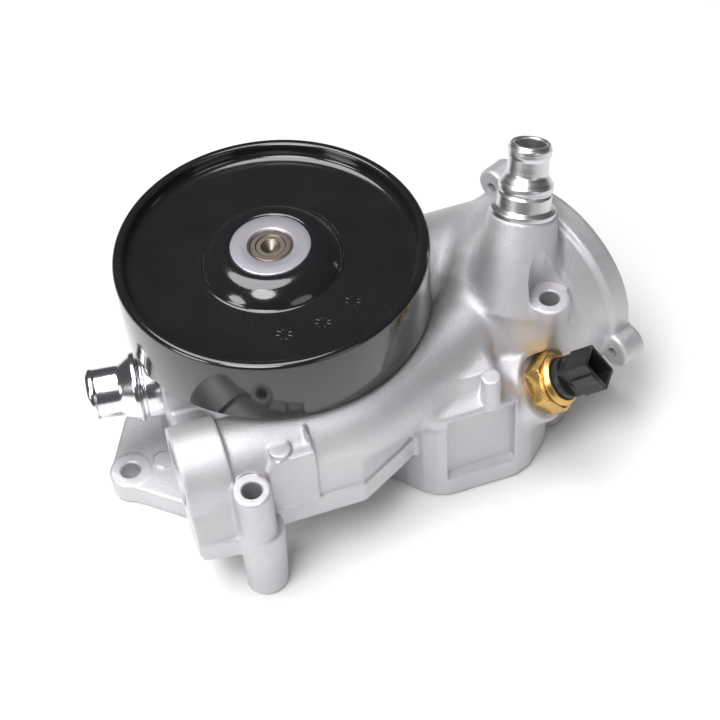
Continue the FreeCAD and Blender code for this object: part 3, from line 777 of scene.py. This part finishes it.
def make_return_spigot():
    """The left nozzle; its open end is at height 0."""
    outline = [
        (8.6, -40), (12.0, -40), (12.0, -34.0), (15.8, -33.6), (15.8, -26.6), (14.8, -26.0),
        (14.8, -24.4), (16.8, -23.8), (16.8, -21.6), (12.4, -15.4), (12.0, -14.2), (12.0, -4.0),
        (12.4, -3.2), (12.4, -1.6), (11.2, 0.0), (9.4, 0.0), (8.6, -0.8),
    ]
    spigot = lathe("return_nozzle", rounded(outline, 0.5), RETURN_TIP, RETURN_AXIS)
    return finish_piece(spigot, "housing", "polished_metal", "return_spigot")


# ---- temperature sensor ----

SENSOR_PLACE = basis(SENSOR_SEAT, SENSOR_AXIS, SENSOR_WIDTH)


def make_sensor_hexagon():
    """The hexagon, with its corners turned down."""
    corner = HEX_HALF / math.cos(math.radians(30))
    outline = []
    for k in range(6):
        angle = math.radians(60 * k + HEX_TURN)
        outline.append((corner * math.cos(angle), corner * math.sin(angle)))
    hexagon = prism("sensor_hexagon", outline, 1.5, 10.0, SENSOR_PLACE)
    turned_edge = [
        (0, 1.4), (13.2, 1.4), (corner + 0.1, 2.0), (corner + 0.1, 9.0),
        (HEX_HALF + 0.5, 10.1), (0, 10.1),
    ]
    combine(hexagon, lathe("tool", turned_edge, SENSOR_SEAT, SENSOR_AXIS, 96), "INTERSECT")
    bevel(hexagon, 0.25)
    return finish_piece(hexagon, "housing", "sensor_brass", "sensor_body")


def make_sensor_stem():
    """The shoulder above the hexagon, and the probe below it."""
    outline = [
        (0, -32), (3.0, -32), (3.5, -30), (3.5, -16), (6.8, -14), (6.8, 1.5), (0.5, 2.0), (0.5, 9.0),
        (12.0, 9.6), (12.2, 10.0), (12.2, 11.0), (11.6, 12.0), (10.9, 13.2), (10.0, 13.4),
        (9.9, 12.4), (0, 12.2),
    ]
    stem = lathe("sensor_stem", rounded(outline, 0.5), SENSOR_SEAT, SENSOR_AXIS)
    return finish_piece(stem, "housing", "sensor_brass", "sensor_body")


def make_washer():
    outline = [(7.0, 0), (11.5, 0), (11.5, 1.5), (7.0, 1.5)]
    washer = lathe("washer_ring", rounded(outline, 0.3), SENSOR_SEAT, SENSOR_AXIS)
    return finish_piece(washer, "housing", "washer_copper", "sensor_washer")


def rounded_box(half_x, half_y, corner):
    outline = [(-half_x, -half_y), (half_x, -half_y), (half_x, half_y), (-half_x, half_y)]
    return rounded(outline, corner)


def make_connector():
    """Moulded connector: round base, neck with a dimple, and an oblong socket with a key rib."""
    shell = prism("plug_socket", rounded_box(8.8, 6.5, 1.2), 21.6, 33.0, SENSOR_PLACE)
    neck = prism("tool", rounded_box(8.0, 6.0, 1.0), 15.8, 22.4, SENSOR_PLACE)
    combine(shell, neck, "UNION")
    key_outline = [(-2.5, -7.7), (2.5, -7.7), (2.5, -6.0), (-2.5, -6.0)]
    combine(shell, prism("tool", key_outline, 21.5, 33.0, SENSOR_PLACE), "UNION")
    base_outline = [(0, 12.0), (9.7, 12.0), (9.7, 16.0), (9.1, 16.6), (0, 16.6)]
    combine(shell, lathe("tool", base_outline, SENSOR_SEAT, SENSOR_AXIS, 96), "UNION")
    combine(shell, prism("tool", rounded_box(7.2, 4.9, 0.8), 23.8, 35.0, SENSOR_PLACE))
    dimple_start = SENSOR_SEAT + SENSOR_AXIS * 19.6 - local_y(9.0)
    combine(shell, drill(dimple_start, local_y(1.0).normalized(), 3.6, 1.3))
    bevel(shell, 0.35)
    return finish_piece(shell, "housing", "connector_plastic", "sensor_connector")


def local_y(amount):
    """A step along the connector's own Y, in millimetres."""
    across = SENSOR_WIDTH - SENSOR_AXIS * SENSOR_WIDTH.dot(SENSOR_AXIS)
    return SENSOR_AXIS.cross(across.normalized()) * amount


# ---- materials ----

class Surface:
    """A node material with short names for the nodes that it uses."""

    def __init__(self, name, roughness, metallic=0.0):
        self.material = bpy.data.materials.new(name)
        self.material.use_nodes = True
        self.tree = self.material.node_tree
        self.shader = self.tree.nodes["Principled BSDF"]
        self.shader.inputs["Roughness"].default_value = roughness
        self.shader.inputs["Metallic"].default_value = metallic
        self.place = self.tree.nodes.new("ShaderNodeTexCoord").outputs["Object"]

    def link(self, source, target):
        self.tree.links.new(source, target)
        return source

    def noise(self, scale, detail=3.0, place=None):
        node = self.tree.nodes.new("ShaderNodeTexNoise")
        node.inputs["Scale"].default_value = scale
        node.inputs["Detail"].default_value = detail
        self.link(place or self.place, node.inputs["Vector"])
        return node.outputs["Fac"]

    def shifted(self, start, axis):
        """Coordinates measured from a turned piece's own start, with Z along its axis."""
        node = self.tree.nodes.new("ShaderNodeMapping")
        node.vector_type = "TEXTURE"
        node.inputs["Location"].default_value = start * MM
        node.inputs["Rotation"].default_value = axis.to_track_quat("Z", "X").to_euler()
        self.link(self.place, node.inputs["Vector"])
        return node.outputs["Vector"]

    def spread(self, source, low, high, new_low, new_high):
        node = self.tree.nodes.new("ShaderNodeMapRange")
        limits = (("From Min", low), ("From Max", high), ("To Min", new_low), ("To Max", new_high))
        for name, value in limits:
            node.inputs[name].default_value = value
        self.link(source, node.inputs["Value"])
        return node.outputs["Result"]

    def mix(self, share, first, second):
        node = self.tree.nodes.new("ShaderNodeMix")
        node.data_type = "RGBA"
        node.inputs["A"].default_value = (*first, 1)
        node.inputs["B"].default_value = (*second, 1)
        self.link(share, node.inputs["Factor"])
        return node.outputs["Result"]

    def bump(self, height, strength, distance):
        node = self.tree.nodes.new("ShaderNodeBump")
        node.inputs["Strength"].default_value = strength
        node.inputs["Distance"].default_value = distance * MM
        self.link(height, node.inputs["Height"])
        if self.shader.inputs["Normal"].is_linked:
            earlier = self.shader.inputs["Normal"].links[0].from_socket
            self.link(earlier, node.inputs["Normal"])
        self.link(node.outputs["Normal"], self.shader.inputs["Normal"])

    def rings(self, start, axis, pitch):
        """Fine turning lines round an axis, as a value from 0 to 1."""
        place = self.shifted(start, axis)
        parts = self.tree.nodes.new("ShaderNodeSeparateXYZ")
        self.link(place, parts.inputs["Vector"])
        flat = self.tree.nodes.new("ShaderNodeCombineXYZ")
        self.link(parts.outputs["X"], flat.inputs["X"])
        self.link(parts.outputs["Y"], flat.inputs["Y"])
        length = self.tree.nodes.new("ShaderNodeVectorMath")
        length.operation = "LENGTH"
        self.link(flat.outputs["Vector"], length.inputs[0])
        line = self.tree.nodes.new("ShaderNodeCombineXYZ")
        self.link(length.outputs["Value"], line.inputs["X"])
        self.link(parts.outputs["Z"], line.inputs["Y"])
        return self.noise(1 / (pitch * MM), 2.0, line.outputs["Vector"])


def colour(surface, share, first, second):
    surface.link(surface.mix(share, first, second), surface.shader.inputs["Base Color"])


def roughen(surface, source, low, high):
    surface.link(surface.spread(source, 0.3, 0.7, low, high), surface.shader.inputs["Roughness"])


def cast_aluminium():
    look = Surface("cast_aluminium", 0.5, 0.6)
    patches = look.spread(look.noise(26, 4), 0.3, 0.7, 0, 1)
    colour(look, patches, (0.54, 0.525, 0.55), (0.64, 0.63, 0.645))
    roughen(look, look.noise(420, 4), 0.33, 0.46)
    look.bump(look.noise(2300, 2), 1.0, 0.24)
    look.bump(look.noise(500, 3), 0.25, 0.08)
    return look.material


def turned_metal(name, first, second, roughness, start, axis, pitch=0.35, depth=0.02):
    look = Surface(name, roughness, 1.0)
    lines = look.rings(start, axis, pitch)
    colour(look, look.spread(lines, 0.3, 0.7, 0, 1), first, second)
    roughen(look, lines, roughness * 0.8, roughness * 1.25)
    look.bump(lines, 0.3, depth)
    return look.material


def black_paint():
    look = Surface("black_paint", 0.12)
    colour(look, look.noise(60, 4), (0.006, 0.006, 0.007), (0.014, 0.014, 0.016))
    roughen(look, look.noise(900, 3), 0.08, 0.2)
    look.shader.inputs["Coat Weight"].default_value = 0.6
    look.shader.inputs["Coat Roughness"].default_value = 0.06
    look.bump(look.noise(140, 2), 0.12, 0.12)
    return look.material


def moulded(name, first, second, roughness):
    look = Surface(name, roughness)
    colour(look, look.noise(300, 4), first, second)
    roughen(look, look.noise(900, 3), roughness * 0.85, roughness * 1.2)
    look.bump(look.noise(2200, 2), 0.3, 0.05)
    return look.material


def materials():
    axis_start = Vector((0, 0, 0))
    return {
        "cast_aluminium": cast_aluminium(),
        "machined_aluminium": turned_metal("machined_aluminium", (0.66, 0.65, 0.67), (0.78, 0.77, 0.78),
                                           0.32, HEATER_SEAT, HEATER_AXIS),
        "polished_metal": turned_metal("polished_metal", (0.76, 0.76, 0.78), (0.82, 0.82, 0.84),
                                       0.17, RETURN_TIP, RETURN_AXIS, 0.5, 0.004),
        "black_paint": black_paint(),
        "ground_steel": turned_metal("ground_steel", (0.47, 0.45, 0.50), (0.55, 0.53, 0.58),
                                     0.42, axis_start, UP, 0.25),
        "bearing_steel": turned_metal("bearing_steel", (0.20, 0.165, 0.14), (0.34, 0.29, 0.25),
                                      0.4, axis_start, UP, 0.6),
        "sensor_brass": turned_metal("sensor_brass", (0.60, 0.37, 0.11), (0.70, 0.46, 0.16),
                                     0.3, SENSOR_SEAT, SENSOR_AXIS, 0.5, 0.01),
        "seal_brass": turned_metal("seal_brass", (0.68, 0.47, 0.20), (0.76, 0.55, 0.26),
                                   0.3, axis_start, UP),
        "washer_copper": turned_metal("washer_copper", (0.70, 0.40, 0.25), (0.80, 0.50, 0.33),
                                      0.35, SENSOR_SEAT, SENSOR_AXIS),
        "connector_plastic": moulded("connector_plastic", (0.010, 0.010, 0.011), (0.018, 0.018, 0.02),
                                     0.36),
        "terminal_metal": turned_metal("terminal_metal", (0.6, 0.6, 0.6), (0.7, 0.7, 0.7),
                                       0.3, SENSOR_SEAT, SENSOR_AXIS),
        "cage_plastic": moulded("cage_plastic", (0.66, 0.60, 0.42), (0.74, 0.68, 0.50), 0.4),
        "impeller_plastic": moulded("impeller_plastic", (0.05, 0.05, 0.055), (0.09, 0.09, 0.095), 0.4),
        "seal_rubber": moulded("seal_rubber", (0.015, 0.015, 0.015), (0.03, 0.03, 0.03), 0.55),
        "carbon": moulded("carbon", (0.03, 0.03, 0.03), (0.06, 0.06, 0.06), 0.3),
        "ceramic_grey": moulded("ceramic_grey", (0.20, 0.20, 0.22), (0.28, 0.28, 0.30), 0.25),
    }


def dress(pieces):
    """Gives each node that stays, and each new piece, the material of its slot."""
    looks = materials()
    slots = {part["node"]: part["material_slot"] for part in frame["record"]["subparts"]}
    for name, node in frame["nodes"].items():
        node.data.materials.clear()
        node.data.materials.append(looks[slots[name]])
        smooth(node)
    for piece in pieces:
        piece.data.materials.clear()
        piece.data.materials.append(looks[piece["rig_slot"]])


# ---- floor, light and camera ----

def make_floor():
    look = Surface("floor", 0.7)
    colour(look, look.noise(4, 2), (0.90, 0.90, 0.90), (0.94, 0.94, 0.94))
    bpy.ops.mesh.primitive_plane_add(size=30, location=(0, 0, -0.0004))
    floor = bpy.context.object
    floor.name = "floor"
    floor.data.materials.append(look.material)


def soft_box(name, place, target, size, power):
    lamp = bpy.data.lights.new(name, "AREA")
    lamp.shape = "DISK"
    lamp.size = size
    lamp.energy = power
    light = bpy.data.objects.new(name, lamp)
    light.location = place
    light.rotation_euler = (Vector(target) - Vector(place)).to_track_quat("-Z", "Y").to_euler()
    bpy.context.scene.collection.objects.link(light)


def make_light():
    world = bpy.data.worlds.new("studio")
    world.use_nodes = True
    world.node_tree.nodes["Background"].inputs["Color"].default_value = (0.95, 0.94, 1.0, 1)
    world.node_tree.nodes["Background"].inputs["Strength"].default_value = 0.09
    bpy.context.scene.world = world
    soft_box("overhead", (-0.3, 0.25, 1.6), (0, 0, 0.05), 1.3, 25)
    soft_box("near", (-0.5, -0.6, 1.4), (0, 0, 0.05), 0.7, 11)
    soft_box("left", (-1.5, -0.5, 0.8), (0, 0, 0.05), 0.7, 8)
    soft_box("front", (0.7, -1.7, 0.8), (0, 0, 0.05), 1.0, 3.5)
    bpy.context.scene.view_settings.view_transform = "Standard"


CAMERA_PLACE = Vector((-0.1064, -0.5334, 0.6696))
CAMERA_DOWN = math.radians(49.47)
CAMERA_TURN = math.radians(15.0)
CAMERA_ROLL = math.radians(-4.42)
CAMERA_LENS = 88.23


def make_camera():
    forward = Vector((
        math.cos(CAMERA_DOWN) * math.sin(CAMERA_TURN),
        math.cos(CAMERA_DOWN) * math.cos(CAMERA_TURN),
        -math.sin(CAMERA_DOWN),
    ))
    level = Vector((math.cos(CAMERA_TURN), -math.sin(CAMERA_TURN), 0))
    upright = level.cross(forward)
    right = level * math.cos(CAMERA_ROLL) + upright * math.sin(CAMERA_ROLL)
    top = upright * math.cos(CAMERA_ROLL) - level * math.sin(CAMERA_ROLL)
    data = bpy.data.cameras.new("camera")
    data.sensor_width = 36
    data.lens = CAMERA_LENS
    camera = bpy.data.objects.new("camera", data)
    turn = Matrix((right, top, -forward)).transposed().to_4x4()
    camera.matrix_world = Matrix.Translation(CAMERA_PLACE) @ turn
    bpy.context.scene.collection.objects.link(camera)
    bpy.context.scene.camera = camera


shown = [
    make_casting(), make_pulley(), make_stamps(), make_hub(), make_shaft(), make_heater_spigot(),
    make_return_spigot(), make_sensor_hexagon(), make_sensor_stem(), make_washer(), make_connector(),
]
dress(shown)
make_floor()
make_light()
make_camera()
